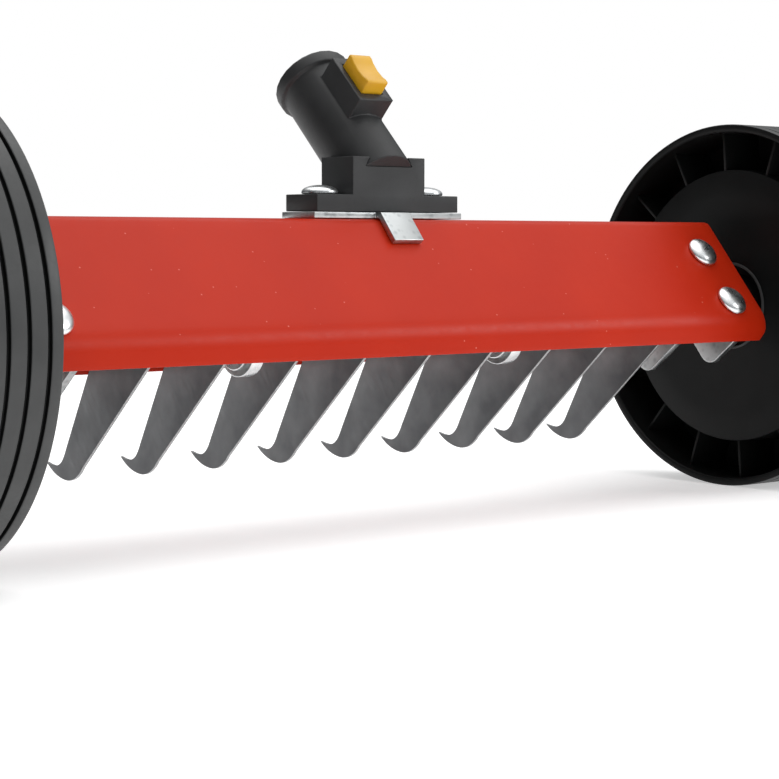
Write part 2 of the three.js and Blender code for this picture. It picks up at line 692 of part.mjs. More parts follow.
// A plate on the hood's top, with a tongue bent down over its front slope.
function makeSaddle() {
  const plate = block(SADDLE_LENGTH, HOOD_TOP_DEPTH - 4, SADDLE_SHEET)
    .translate([0, topMiddleY, saddleSeatZ + SADDLE_SHEET / 2]);
  const lift = GAP * 1.5;
  const under = [slopePoint(0, -lift), slopePoint(1, -lift)];
  const slope = Math.tan(HOOD_SLOPE);
  const bendY = under[0].x + (saddleSeatZ - under[0].y) / slope;
  const bend = new THREE.Vector2(bendY, saddleSeatZ);
  const sheetShift = new THREE.Vector2(-intoHood.x, -intoHood.y).multiplyScalar(SADDLE_SHEET);
  const end = bend.clone().addScaledVector(alongSlope, -SADDLE_TONGUE);
  const rear = new THREE.Vector2(topMiddleY, saddleSeatZ);
  const outerBendY = bendY + (sheetShift.x * slope - sheetShift.y + SADDLE_SHEET) / slope;
  const shape = new THREE.Shape([
    end,
    bend,
    rear,
    new THREE.Vector2(rear.x, saddleTopZ),
    new THREE.Vector2(outerBendY, saddleTopZ),
    end.clone().add(sheetShift),
  ]);
  const tongue = sideways(shape, -SADDLE_TONGUE_WIDTH / 2, SADDLE_TONGUE_WIDTH / 2);
  let saddle = plate.add(tongue);
  for (const side of [-1, 1]) {
    const hole = rod(BOLT_RADIUS + GAP, -10, 10, 16)
      .translate([side * SOCKET_BOLT_X, topMiddleY, saddleSeatZ]);
    saddle = saddle.subtract(hole);
  }
  return geometryOf(saddle);
}

add("handle_saddle", makeSaddle(), zincPlate);

// ---- quick-change socket ------------------------------------------------------------------

const footSeatZ = saddleTopZ + GAP;
const FOOT_HEIGHT = 8;
const footDepth = HOOD_TOP_DEPTH - 5;
const socketBase = new THREE.Vector3(
  0,
  topMiddleY - 4,
  footSeatZ + SOCKET_RADIUS * Math.sin(SOCKET_TILT) + 1.272,
);
const pocketFloor = SOCKET_BORE + 2;
const buttonBossTop = SOCKET_RADIUS + 9;
const buttonMiddle = SOCKET_LENGTH - 30;

// The socket is drawn about its own Z axis, with the handle's mouth upwards and the button
// on its -Y side, and then leaned back towards the person.
function socketTube() {
  const boss = block(BUTTON_WIDTH + 8, buttonBossTop, BUTTON_LENGTH + 10)
    .translate([0, -buttonBossTop / 2, buttonMiddle]);
  const pocket = block(BUTTON_WIDTH + 2 * GAP, 30, BUTTON_LENGTH + 2 * GAP)
    .translate([0, -(pocketFloor + 15), buttonMiddle]);
  const body = turned([
    [0, 0],
    [SOCKET_RADIUS, 0],
    [SOCKET_RADIUS, SOCKET_LENGTH - 8],
    [SOCKET_RADIUS + 2, SOCKET_LENGTH - 7],
    [SOCKET_RADIUS + 2, SOCKET_LENGTH - 1],
    [SOCKET_RADIUS + 1, SOCKET_LENGTH],
    [0, SOCKET_LENGTH],
  ], 24);
  const bore = rod(SOCKET_BORE, SOCKET_LENGTH - SOCKET_DEPTH, SOCKET_LENGTH + 5, 24);
  return body.add(boss).subtract(pocket).subtract(bore);
}

function leanBack(solid) {
  return solid
    .rotate([-THREE.MathUtils.radToDeg(SOCKET_TILT), 0, 0])
    .translate([socketBase.x, socketBase.y, socketBase.z]);
}

// The bolted foot, with a cradle that the socket's lower end is set into.
function makeSocketFoot() {
  const foot = block(2 * SOCKET_BOLT_X + 22, footDepth, FOOT_HEIGHT)
    .translate([0, topMiddleY, footSeatZ + FOOT_HEIGHT / 2]);
  const pedestal = block(2 * (SOCKET_RADIUS + CHEEK), footDepth, 26)
    .translate([0, topMiddleY, footSeatZ + 13]);
  const cradle = rod(SOCKET_RADIUS + GAP, -GAP, SOCKET_LENGTH, 24);
  let solid = foot.add(pedestal).subtract(leanBack(cradle));
  for (const side of [-1, 1]) {
    const hole = rod(BOLT_RADIUS + GAP, -5, 40, 16)
      .translate([side * SOCKET_BOLT_X, topMiddleY, footSeatZ]);
    solid = solid.subtract(hole);
  }
  return geometryOf(solid);
}

add("socket_foot", makeSocketFoot(), blackPlastic);
add("handle_socket", geometryOf(leanBack(socketTube())), blackPlastic);

const leaning = new THREE.Group();
leaning.position.copy(socketBase);
leaning.rotation.x = -SOCKET_TILT;
scarifier.add(leaning);

const springHeight = 6.5;
const buttonHeight = 12;
const buttonStart = pocketFloor + springHeight + 2 * GAP;

function makeButton() {
  const cap = block(BUTTON_WIDTH, buttonHeight, BUTTON_LENGTH).translate([0, -buttonHeight / 2, 0]);
  const dish = rod(26, -20, 20, 32).rotate([0, 90, 0]).translate([0, -buttonHeight - 24.8, 0]);
  const pocket = rod(4.2, -1, 6, 12).rotate([90, 0, 0]);
  return geometryOf(cap.subtract(dish).subtract(pocket));
}

const button = add("release_button", makeButton(), buttonPlastic, leaning);
button.position.set(0, -buttonStart, buttonMiddle);

const buttonSpring = tube(3.6, 2.6, GAP, springHeight + 1.5, 12).rotate([90, 0, 0]);
const springMesh = add("button_spring", geometryOf(buttonSpring), springSteel, leaning);
springMesh.position.set(0, -pocketFloor, buttonMiddle);

const socketBolt = geometryOf(makeDomeBolt(FOOT_HEIGHT + SADDLE_SHEET + HOOD_SHEET + NUT_HEIGHT + 4));
for (const [side, name] of [[1, "right"], [-1, "left"]]) {
  const bolt = add(`${name}_socket_bolt`, socketBolt, brightZinc);
  bolt.position.set(side * SOCKET_BOLT_X, topMiddleY, footSeatZ + FOOT_HEIGHT + GAP);
  const lower = add(`${name}_socket_nut`, nut, brightZinc);
  lower.position.set(side * SOCKET_BOLT_X, topMiddleY, HOOD_TOP_Z - HOOD_SHEET - GAP);
}

export default scarifier;
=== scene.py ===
# %% [markdown]
# # A wheeled lawn scarifier head
#
# This lesson dresses the head of a hand-pulled scarifier: a folded red hood, nine sickle
# blades on one axle, two wide moulded wheels and a socket for a long handle. The CAD model
# already fixes where each piece sits and how it moves, so the script loads it first and
# measures from it. Every piece here is a finer skin over a CAD piece, and rides on its body.

# %% Load the CAD model as a fixed frame
import math

import bmesh
import bpy
from mathutils import Matrix, Vector


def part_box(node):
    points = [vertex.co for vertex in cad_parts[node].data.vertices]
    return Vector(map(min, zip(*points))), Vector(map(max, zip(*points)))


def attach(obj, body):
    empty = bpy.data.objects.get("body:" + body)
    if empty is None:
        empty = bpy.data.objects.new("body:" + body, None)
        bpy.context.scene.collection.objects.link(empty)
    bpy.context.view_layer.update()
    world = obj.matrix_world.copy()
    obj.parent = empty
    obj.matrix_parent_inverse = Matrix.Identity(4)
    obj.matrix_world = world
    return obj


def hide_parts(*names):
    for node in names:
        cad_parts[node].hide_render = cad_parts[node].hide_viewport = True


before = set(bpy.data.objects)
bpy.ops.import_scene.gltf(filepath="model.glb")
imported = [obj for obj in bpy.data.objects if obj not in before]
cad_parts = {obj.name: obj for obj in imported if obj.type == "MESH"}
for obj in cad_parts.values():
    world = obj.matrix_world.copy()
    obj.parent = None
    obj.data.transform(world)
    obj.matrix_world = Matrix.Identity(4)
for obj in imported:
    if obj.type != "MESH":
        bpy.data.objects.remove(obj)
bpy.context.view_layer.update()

# %% [markdown]
# ## Small tools
#
# Sizes below are in millimetres, as a maker would write them, while Blender works in metres,
# so one constant turns one into the other. Colours are written as the hex values a painter
# would pick from a chart. A render adds light in linear values, so one function converts them.

# %% Units and colours
MM = 0.001


def colour(hex_value):
    """An sRGB hex colour as the linear RGBA that shaders work in."""
    channels = [int(hex_value[i:i + 2], 16) / 255 for i in (1, 3, 5)]
    linear = [c / 12.92 if c <= 0.04045 else ((c + 0.055) / 1.055) ** 2.4 for c in channels]
    return (*linear, 1.0)


def put(tree, kind, inputs=None, **settings):
    """Adds a node, sets it up and links whichever inputs are given as sockets."""
    node = tree.nodes.new(kind)
    for name, value in settings.items():
        setattr(node, name, value)
    for name, value in (inputs or {}).items():
        if isinstance(value, bpy.types.NodeSocket):
            tree.links.new(value, node.inputs[name])
        else:
            node.inputs[name].default_value = value
    return node


print("paint red in linear light:", [round(c, 3) for c in colour("#C02A0C")[:3]])

# %% [markdown]
# ## Turning a plan into a piece
#
# Nearly all of this machine is either turned on a lathe, cut from flat plate or bent from
# sheet. A turned piece is a profile swept round an axis, which mesh code makes ring by ring.
# A plate is easiest as a filled 2D curve: it keeps holes, and its own bevel rounds the edges
# as a deburring wheel does. Both end as plain meshes with their place in the mesh itself.

# %% Mesh tools
def new_piece(name, mesh):
    piece = bpy.data.objects.new(name, mesh)
    bpy.context.scene.collection.objects.link(piece)
    return piece


def settled(piece, name=None):
    """A plain mesh object with every modifier of the given one worked in."""
    bpy.context.view_layer.update()
    graph = bpy.context.evaluated_depsgraph_get()
    mesh = bpy.data.meshes.new_from_object(piece.evaluated_get(graph), depsgraph=graph)
    made = new_piece(name or piece.name + "_settled", mesh)
    mesh.transform(piece.matrix_world)
    bpy.data.objects.remove(piece)
    return made


def turned(name, profile, steps=96, closed=True):
    """A profile of (radius, x) pairs turned about the X axis."""
    shape = bmesh.new()
    rings = []
    for radius, x in profile:
        if radius < 1e-6:
            rings.append([shape.verts.new((x * MM, 0, 0))])
            continue
        angles = [2 * math.pi * i / steps for i in range(steps)]
        rings.append([
            shape.verts.new((x * MM, radius * MM * math.sin(a), radius * MM * math.cos(a)))
            for a in angles
        ])
    pairs = list(zip(rings, rings[1:]))
    if closed:
        pairs.append((rings[-1], rings[0]))
    for first, second in pairs:
        for i in range(steps):
            j = (i + 1) % steps
            if len(first) == 1 and len(second) == 1:
                continue
            if len(first) == 1:
                shape.faces.new((first[0], second[j], second[i]))
            elif len(second) == 1:
                shape.faces.new((first[i], first[j], second[0]))
            else:
                shape.faces.new((first[i], first[j], second[j], second[i]))
    bmesh.ops.recalc_face_normals(shape, faces=shape.faces)
    mesh = bpy.data.meshes.new(name)
    shape.to_mesh(mesh)
    shape.free()
    return new_piece(name, mesh)


def rounded(corners, radius, steps=4, closed=False):
    """A run of corners with an arc at each one; radius is one size or one for each corner."""
    count = len(corners)
    sizes = radius if isinstance(radius, (list, tuple)) else [radius] * count
    run = []
    for i, corner in enumerate(corners):
        here = Vector(corner)
        if not closed and i in (0, count - 1) or sizes[i] <= 0:
            run.append(tuple(here))
            continue
        before = Vector(corners[i - 1]) - here
        after = Vector(corners[(i + 1) % count]) - here
        half = before.angle(after) / 2
        if half > math.pi / 2 - 0.02:
            run.append(tuple(here))
            continue
        reach = min(sizes[i] / math.tan(half), before.length * 0.49, after.length * 0.49)
        bend = reach * math.tan(half)
        start = here + before.normalized() * reach
        end = here + after.normalized() * reach
        middle = here + (before.normalized() + after.normalized()).normalized() * (bend / math.sin(half))
        first, last = start - middle, end - middle
        sweep = first.angle(last)
        for k in range(steps + 1):
            share = k / steps
            weights = (math.sin((1 - share) * sweep), math.sin(share * sweep))
            arm = (first * weights[0] + last * weights[1]) / math.sin(sweep)
            run.append(tuple(middle + arm))
    return run


def circle(y, z, radius, steps=32):
    turns = [2 * math.pi * i / steps for i in range(steps)]
    return [(y + radius * math.cos(a), z + radius * math.sin(a)) for a in turns]


SIDE_VIEW = Matrix(((0, 0, 1, 0), (1, 0, 0, 0), (0, 1, 0, 0), (0, 0, 0, 1)))


def plate(name, outline, x_from, x_to, edge=0.4, holes=()):
    """A plate cut to an outline in (y, z), its thickness along X, with rounded edges."""
    drawing = bpy.data.curves.new(name, "CURVE")
    drawing.dimensions = "2D"
    drawing.fill_mode = "BOTH"
    for loop in (outline, *holes):
        spline = drawing.splines.new("POLY")
        spline.points.add(len(loop) - 1)
        for point, (y, z) in zip(spline.points, loop):
            point.co = (y * MM, z * MM, 0, 1)
        spline.use_cyclic_u = True
    drawing.extrude = ((x_to - x_from) / 2 - edge) * MM
    drawing.bevel_depth = edge * MM
    drawing.bevel_resolution = 2
    drawing.offset = -edge * MM
    made = settled(new_piece(name + "_drawing", drawing), name)
    made.data.transform(Matrix.Translation(((x_from + x_to) / 2 * MM, 0, 0)) @ SIDE_VIEW)
    return made


def moved(piece, matrix):
    piece.data.transform(matrix)
    return piece


def copied(piece, name, matrix):
    """A copy with its own mesh; a mirrored one is turned right side out again."""
    twin = new_piece(name, piece.data.copy())
    twin.data.transform(matrix)
    if matrix.determinant() < 0:
        twin.data.flip_normals()
    return twin


def joined(name, *pieces):
    """Several meshes as one object."""
    shape = bmesh.new()
    for piece in pieces:
        shape.from_mesh(piece.data)
        bpy.data.objects.remove(piece)
    mesh = bpy.data.meshes.new(name)
    shape.to_mesh(mesh)
    shape.free()
    return new_piece(name, mesh)


MIRROR = Matrix.Scale(-1, 4, (1, 0, 0))


def at(x, y, z):
    return Matrix.Translation((x * MM, y * MM, z * MM))


def dress(piece, materials, body, nodes, sharp=32):
    """Gives a piece its materials and smooth shading, and hands it to the CAD frame."""
    marks = [face.material_index for face in piece.data.polygons]
    piece.data.materials.clear()
    for material in materials:
        piece.data.materials.append(material)
    piece.data.polygons.foreach_set("material_index", marks)
    piece.data.polygons.foreach_set("use_smooth", [True] * len(piece.data.polygons))
    piece.data.set_sharp_from_angle(angle=math.radians(sharp))
    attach(piece, body)
    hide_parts(*nodes)
    print(f"{piece.name}: {len(piece.data.polygons)} faces on {body}")
    return piece


def bright_edges(piece):
    """Gives the cut rim of a plate the second material."""
    for face in piece.data.polygons:
        face.material_index = 1 if abs(face.normal.x) < 0.75 else 0


# %% [markdown]
# ## Powder coat
#
# The hood is steel under a baked powder coat. Powder melts into a skin with a faint
# orange-peel ripple, so its gloss is soft and its highlights are a little broken. The colour
# is one pigment, yet dust and film thickness shift it slightly over a hand's width.

# %% Finish: red powder coat
def surface(name, **values):
    """A material with a principled shader, and the plain values set on the shader itself."""
    material = bpy.data.materials.new(name)
    material.use_nodes = True
    tree = material.node_tree
    tree.nodes.clear()
    shader = put(tree, "ShaderNodeBsdfPrincipled")
    put(tree, "ShaderNodeOutputMaterial", {"Surface": shader.outputs["BSDF"]})
    for socket, value in values.items():
        shader.inputs[socket.replace("_", " ")].default_value = value
    place = put(tree, "ShaderNodeTexCoord").outputs["Object"]
    return material, tree, shader, place


def noise(tree, place, size_mm, detail=3.0, stretch=(1, 1, 1)):
    """Noise whose features are about so many millimetres across, stretched if asked."""
    scaled = put(tree, "ShaderNodeMapping", {"Vector": place, "Scale": stretch})
    return put(tree, "ShaderNodeTexNoise", {
        "Vector": scaled.outputs["Vector"],
        "Scale": 1 / (size_mm * MM),
        "Detail": detail,
    }).outputs["Fac"]


def spread(tree, value, low, high):
    """Maps a 0.3 to 0.7 noise value onto a low to high range."""
    return put(tree, "ShaderNodeMapRange", {
        "Value": value, "From Min": 0.3, "From Max": 0.7, "To Min": low, "To Max": high,
    }).outputs["Result"]


def tints(tree, value, stops):
    """A colour ramp through (position, hex) stops."""
    ramp = put(tree, "ShaderNodeValToRGB", {"Fac": value})
    elements = ramp.color_ramp.elements
    while len(elements) < len(stops):
        elements.new(0.5)
    for element, (position, hex_value) in zip(elements, stops):
        element.position = position
        element.color = colour(hex_value)
    return ramp.outputs["Color"]


def ripple(tree, shader, height, depth_mm, strength=1.0):
    bump = put(tree, "ShaderNodeBump", {
        "Height": height, "Distance": depth_mm * MM, "Strength": strength,
    })
    tree.links.new(bump.outputs["Normal"], shader.inputs["Normal"])


def make_powder_coat():
    material, tree, shader, place = surface("red_powder_coat", Specular_IOR_Level=0.16)
    cloud = noise(tree, place, 60)
    shade = tints(tree, cloud, [(0.3, "#B8250A"), (0.7, "#C02A0C")])
    spots = put(tree, "ShaderNodeTexVoronoi", {"Vector": place, "Scale": 1 / (8 * MM)})
    dust = put(tree, "ShaderNodeMapRange", {
        "Value": spots.outputs["Distance"], "From Min": 0.03, "From Max": 0.06, "To Min": 0.4, "To Max": 0.0,
    })
    dusty = put(tree, "ShaderNodeMixRGB", {0: dust.outputs["Result"], 1: shade, 2: colour("#F2B7A8")})
    tree.links.new(dusty.outputs["Color"], shader.inputs["Base Color"])
    grain = noise(tree, place, 3.0, 2.0)
    tree.links.new(spread(tree, grain, 0.34, 0.42), shader.inputs["Roughness"])
    peel = noise(tree, place, 1.6, 2.0)
    ripple(tree, shader, peel, 0.02, 0.5)
    return material


powder_coat = make_powder_coat()

# %% [markdown]
# ## Bare and plated steel
#
# Three steels show here. The brackets, hangers and saddle are zinc-plated sheet: a dull
# crystalline grey that changes a little from patch to patch. Bolts, nuts and sleeves are
# bright zinc, nearly a mirror. The blades are hardened spring steel, dark and satin from
# tempering oil, with fine grinding lines down their length and bright sheared rims. For all
# of them the colour of the metal tints its reflections, so the metallic value is 1.

# %% Finish: the steels
def make_zinc_sheet():
    material, tree, shader, place = surface("zinc_plated_sheet", Metallic=1.0)
    crystals = put(tree, "ShaderNodeTexVoronoi", {"Vector": place, "Scale": 1 / (3.5 * MM)})
    cloud = noise(tree, place, 9)
    blend = put(tree, "ShaderNodeMath", {0: crystals.outputs["Distance"], 1: cloud}, operation="ADD")
    shade = tints(tree, blend.outputs[0], [(0.25, "#8F9395"), (0.95, "#C3C6C6")])
    tree.links.new(shade, shader.inputs["Base Color"])
    tree.links.new(spread(tree, cloud, 0.28, 0.46), shader.inputs["Roughness"])
    ripple(tree, shader, noise(tree, place, 0.8), 0.02, 0.4)
    return material


def make_bright_zinc():
    material, tree, shader, place = surface("bright_zinc_plating", Metallic=1.0)
    cloud = noise(tree, place, 5)
    shade = tints(tree, cloud, [(0.3, "#E2E5E6"), (0.7, "#F1F3F3")])
    tree.links.new(shade, shader.inputs["Base Color"])
    tree.links.new(spread(tree, cloud, 0.24, 0.34), shader.inputs["Roughness"])
    ripple(tree, shader, noise(tree, place, 2.2, 1.0), 0.05, 0.35)
    return material


def make_blade_steel():
    material, tree, shader, place = surface("tempered_blade_steel", Metallic=1.0)
    # Grinding lines run down the blade, so the noise is drawn out along that slope.
    turn = put(tree, "ShaderNodeMapping", {"Vector": place, "Rotation": (math.radians(-52), 0, 0)})
    lines = noise(tree, turn.outputs["Vector"], 1.0, 3.0, (1, 0.06, 1))
    cloud = noise(tree, place, 14, 4.0)
    blend = put(tree, "ShaderNodeMath", {0: lines, 1: 0.3, 2: cloud}, operation="MULTIPLY_ADD")
    # Painted shade: the faces are painted darker towards the leading edge.
    across = put(tree, "ShaderNodeVectorMath", {0: place, 1: (0, 0.666 / MM, 0.746 / MM)},
                 operation="DOT_PRODUCT").outputs["Value"]
    painted_edge_shade = put(tree, "ShaderNodeMapRange", {
        "Value": across, "From Min": 41.0, "From Max": 62.0, "To Min": -0.35, "To Max": 0.0,
    })
    total = put(tree, "ShaderNodeMath", {0: blend.outputs[0], 1: painted_edge_shade.outputs["Result"]}, operation="ADD")
    shade = tints(tree, total.outputs[0], [(0.2, "#656668"), (0.85, "#858687")])
    tree.links.new(shade, shader.inputs["Base Color"])
    tree.links.new(spread(tree, lines, 0.42, 0.54), shader.inputs["Roughness"])
    ripple(tree, shader, lines, 0.01, 0.5)
    return material


def make_sheared_edge():
    material, tree, shader, place = surface("sheared_steel_edge", Metallic=1.0)
    drag = noise(tree, place, 0.7, 2.0, (1, 0.2, 1))
    tree.links.new(tints(tree, drag, [(0.3, "#9B9D9E"), (0.7, "#C9CACA")]), shader.inputs["Base Color"])
    tree.links.new(spread(tree, drag, 0.26, 0.4), shader.inputs["Roughness"])
    return material


def make_spring_wire():
    material, tree, shader, place = surface("drawn_spring_wire", Metallic=1.0)
    draw = noise(tree, place, 0.6, 2.0)
    tree.links.new(tints(tree, draw, [(0.3, "#77797A"), (0.7, "#999B9C")]), shader.inputs["Base Color"])
    tree.links.new(spread(tree, draw, 0.25, 0.38), shader.inputs["Roughness"])
    return material


zinc_sheet = make_zinc_sheet()
bright_zinc = make_bright_zinc()
blade_steel = make_blade_steel()
sheared_edge = make_sheared_edge()
spring_wire = make_spring_wire()

# %% [markdown]
# ## Moulded plastics
#
# The wheels are black polypropylene from a spark-eroded mould: a fine even grain of under a
# millimetre that turns a gloss into a satin. The handle socket is black nylon filled with
# glass, which is coarser and a touch greyer. The button is yellow so that a thumb finds it.

# %% Finish: the plastics
def make_plastic(name, dark, light, grain_mm, depth_mm, rough, gloss=0.5):
    material, tree, shader, place = surface(name, IOR=1.49, Specular_IOR_Level=gloss)
    cloud = noise(tree, place, 18)
    tree.links.new(tints(tree, cloud, [(0.3, dark), (0.7, light)]), shader.inputs["Base Color"])
    grain = noise(tree, place, grain_mm, 2.0)
    tree.links.new(spread(tree, grain, rough - 0.04, rough + 0.05), shader.inputs["Roughness"])
    ripple(tree, shader, grain, depth_mm, 0.5)
    return material


wheel_plastic = make_plastic("black_polypropylene", "#111212", "#151616", 0.9, 0.03, 0.42, 0.14)
# A lighter copy of the wheel plastic, used as a painted highlight: it goes on the tread lands and the hub
# lip.
sheen_painted_plastic = make_plastic("scuffed_polypropylene", "#333434", "#3E3F3F", 1.4, 0.05, 0.46)
cap_plastic = make_plastic("black_cap_plastic", "#161717", "#1B1C1C", 1.5, 0.01, 0.28)
socket_plastic = make_plastic("glass_filled_nylon", "#1D1E1F", "#28292A", 0.7, 0.05, 0.48)
bush_nylon = make_plastic("natural_nylon", "#D9D4C6", "#E6E1D4", 1.2, 0.01, 0.4)
button_plastic = make_plastic("yellow_button_plastic", "#D9A318", "#E2AC1E", 1.0, 0.02, 0.36)
print("finishes made:", len(bpy.data.materials))

# %% [markdown]
# ## Repeats
#
# Blades in a row, ribs round a rim and coils of wire all repeat by rule, which is work for
# Geometry Nodes. Each tree below takes its sizes as named inputs, so one tree serves several
# pieces. It ends by making its copies real and giving them their finish, since an exported
# model has no instances. The result is then turned into a plain mesh.

# %% Node trees for repeats
def new_tree(name, inputs):
    """An empty geometry tree with named inputs, given as (name, socket type) pairs."""
    tree = bpy.data.node_groups.new(name, "GeometryNodeTree")
    tree.interface.new_socket("Geometry", in_out="INPUT", socket_type="NodeSocketGeometry")
    tree.interface.new_socket("Geometry", in_out="OUTPUT", socket_type="NodeSocketGeometry")
    for label, kind in inputs:
        tree.interface.new_socket(label, in_out="INPUT", socket_type=kind)
    given = put(tree, "NodeGroupInput")
    return tree, given.outputs


def close_tree(tree, geometry, material):
    real = put(tree, "GeometryNodeRealizeInstances", {"Geometry": geometry})
    painted = put(tree, "GeometryNodeSetMaterial", {
        "Geometry": real.outputs["Geometry"], "Material": material,
    })
    put(tree, "NodeGroupOutput", {"Geometry": painted.outputs["Geometry"]})
    return tree


def grown(name, tree, values, start=None):
    """Runs a tree on a piece, or on nothing, and returns the plain mesh it makes."""
    piece = start or new_piece(name + "_seed", bpy.data.meshes.new(name))
    modifier = piece.modifiers.new(name, "NODES")
    modifier.node_group = tree
    for socket in tree.interface.items_tree:
        if socket.in_out == "INPUT" and socket.name in values:
            modifier[socket.identifier] = values[socket.name]
    return settled(piece, name)


def make_row_tree():
    """Copies of one piece in a straight row along X."""
    tree, given = new_tree("copies_in_a_row", [
        ("Copy", "NodeSocketObject"), ("Count", "NodeSocketInt"), ("First", "NodeSocketVector"),
        ("Step", "NodeSocketVector"), ("Finish", "NodeSocketMaterial"),
    ])
    line = put(tree, "GeometryNodeMeshLine", {
        "Count": given["Count"], "Start Location": given["First"], "Offset": given["Step"],
    })
    copy = put(tree, "GeometryNodeObjectInfo", {"Object": given["Copy"]})
    row = put(tree, "GeometryNodeInstanceOnPoints", {
        "Points": line.outputs["Mesh"], "Instance": copy.outputs["Geometry"],
    })
    return close_tree(tree, row.outputs["Instances"], given["Finish"])


def make_ring_tree():
    """Copies of one piece set round an axle that lies along X, added to the piece itself."""
    tree, given = new_tree("copies_round_an_axle", [
        ("Copy", "NodeSocketObject"), ("Count", "NodeSocketInt"), ("Start angle", "NodeSocketFloat"),
        ("Finish", "NodeSocketMaterial"),
    ])
    points = put(tree, "GeometryNodePoints", {"Count": given["Count"]})
    copy = put(tree, "GeometryNodeObjectInfo", {"Object": given["Copy"]})
    index = put(tree, "GeometryNodeInputIndex")
    share = put(tree, "ShaderNodeMath", {0: index.outputs[0], 1: given["Count"]}, operation="DIVIDE")
    angle = put(tree, "ShaderNodeMath", {
        0: share.outputs[0], 1: 2 * math.pi, 2: given["Start angle"],
    }, operation="MULTIPLY_ADD")
    turn = put(tree, "ShaderNodeCombineXYZ", {"X": angle.outputs[0]})
    ring = put(tree, "GeometryNodeInstanceOnPoints", {
        "Points": points.outputs[0],
        "Instance": copy.outputs["Geometry"],
        "Rotation": turn.outputs[0],
    })
    both = put(tree, "GeometryNodeJoinGeometry")
    tree.links.new(ring.outputs["Instances"], both.inputs[0])
    tree.links.new(given["Geometry"], both.inputs[0])
    return close_tree(tree, both.outputs[0], given["Finish"])


def make_coil_tree():
    """A coil of wire along X, with a straight leg at its far end."""
    tree, given = new_tree("coil_of_wire", [
        ("Turns", "NodeSocketFloat"), ("Radius", "NodeSocketFloat"), ("Length", "NodeSocketFloat"),
        ("Wire radius", "NodeSocketFloat"), ("Leg start", "NodeSocketVector"),
        ("Leg end", "NodeSocketVector"), ("Finish", "NodeSocketMaterial"),
    ])
    spiral = put(tree, "GeometryNodeCurveSpiral", {
        "Resolution": 40, "Rotations": given["Turns"], "Start Radius": given["Radius"],
        "End Radius": given["Radius"], "Height": given["Length"],
    })
    laid = put(tree, "GeometryNodeTransform", {
        "Geometry": spiral.outputs["Curve"], "Rotation": (0, math.pi / 2, 0),
    })
    leg = put(tree, "GeometryNodeCurvePrimitiveLine", {
        "Start": given["Leg start"], "End": given["Leg end"],
    })
    both = put(tree, "GeometryNodeJoinGeometry")
    tree.links.new(leg.outputs["Curve"], both.inputs[0])
    tree.links.new(laid.outputs["Geometry"], both.inputs[0])
    section = put(tree, "GeometryNodeCurvePrimitiveCircle", {
        "Resolution": 12, "Radius": given["Wire radius"],
    })
    wire = put(tree, "GeometryNodeCurveToMesh", {
        "Curve": both.outputs[0], "Profile Curve": section.outputs["Curve"], "Fill Caps": True,
    })
    return close_tree(tree, wire.outputs["Mesh"], given["Finish"])


row_tree = make_row_tree()
ring_tree = make_ring_tree()
coil_tree = make_coil_tree()
print("trees:", [tree.name for tree in bpy.data.node_groups])

# %% [markdown]
# ## The hood
#
# A press brake folds one steel sheet along four lines. The bends are round, since steel
# cracks on a sharp tool. The best model copies that: a run of corners seen from the end, an
# arc at each bend, drawn out along the hood, and then given the sheet's thickness inwards.

# %% Hood
hood_low, hood_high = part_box("hood")
HALF_LENGTH = hood_high.x / MM
FRONT_Y = hood_low.y / MM
REAR_Y = hood_high.y / MM
TOP_Z = hood_high.z / MM
REAR_EDGE_Z = hood_low.z / MM
FRONT_EDGE_Z = 83.0
CREASE_Z = 95.0
SLOPE = math.radians(50.7)
TOP_DEPTH = 29.0
SHEET = 1.5
SEAT_GAP = 0.3
CHAMFER = 5.0
top_front_y = FRONT_Y + (TOP_Z - CREASE_Z) / math.tan(SLOPE)
top_rear_y = top_front_y + TOP_DEPTH
top_middle_y = (top_front_y + top_rear_y) / 2

HOOD_CORNERS = [
    (FRONT_Y, FRONT_EDGE_Z),
    (FRONT_Y, CREASE_Z),
    (top_front_y, TOP_Z),
    (top_rear_y, TOP_Z),
    (REAR_Y, CREASE_Z),
    (REAR_Y, REAR_EDGE_Z),
]


def subdivided(run, longest):
    """The same run with its long stretches cut into shorter ones."""
    points = [run[0]]
    for start, end in zip(run, run[1:]):
        pieces = max(1, math.ceil(math.dist(start, end) / longest))
        for k in range(1, pieces + 1):
            points.append(tuple(a + (b - a) * k / pieces for a, b in zip(start, end)))
    return points


def make_hood():
    run = subdivided(rounded(HOOD_CORNERS, [0, 16, 6, 6, 6, 0], 8), 3.0)
    columns = 90
    shape = bmesh.new()
    rows = []
    for y, z in run:
        from_front = z - FRONT_EDGE_Z if y < FRONT_Y + 0.5 and z < CREASE_Z - 3 else 99
        cut = max(0.0, CHAMFER - from_front)
        half = HALF_LENGTH - cut
        rows.append([
            shape.verts.new((half * (2 * i / columns - 1) * MM, y * MM, z * MM))
            for i in range(columns + 1)
        ])
    for first, second in zip(rows, rows[1:]):
        for i in range(columns):
            shape.faces.new((first[i], first[i + 1], second[i + 1], second[i]))
    bmesh.ops.recalc_face_normals(shape, faces=shape.faces)
    front_slope = Vector((0, (FRONT_Y + top_front_y) / 2 * MM, (CREASE_Z + TOP_Z) / 2 * MM))
    middle = min(shape.faces, key=lambda f: (f.calc_center_median() - front_slope).length)
    if middle.normal.y > 0:
        bmesh.ops.reverse_faces(shape, faces=shape.faces)
    mesh = bpy.data.meshes.new("hood")
    shape.to_mesh(mesh)
    shape.free()
    hood = new_piece("hood_flat", mesh)
    wall = hood.modifiers.new("sheet", "SOLIDIFY")
    wall.thickness = SHEET * MM
    wall.offset = -1
    wall.use_even_offset = True
    edge = hood.modifiers.new("edge", "BEVEL")
    edge.width = 0.35 * MM
    edge.segments = 2
    edge.limit_method = "ANGLE"
    edge.angle_limit = math.radians(50)
    return settled(hood, "hood_shell")


hood = dress(make_hood(), [powder_coat], "frame", ["hood"])

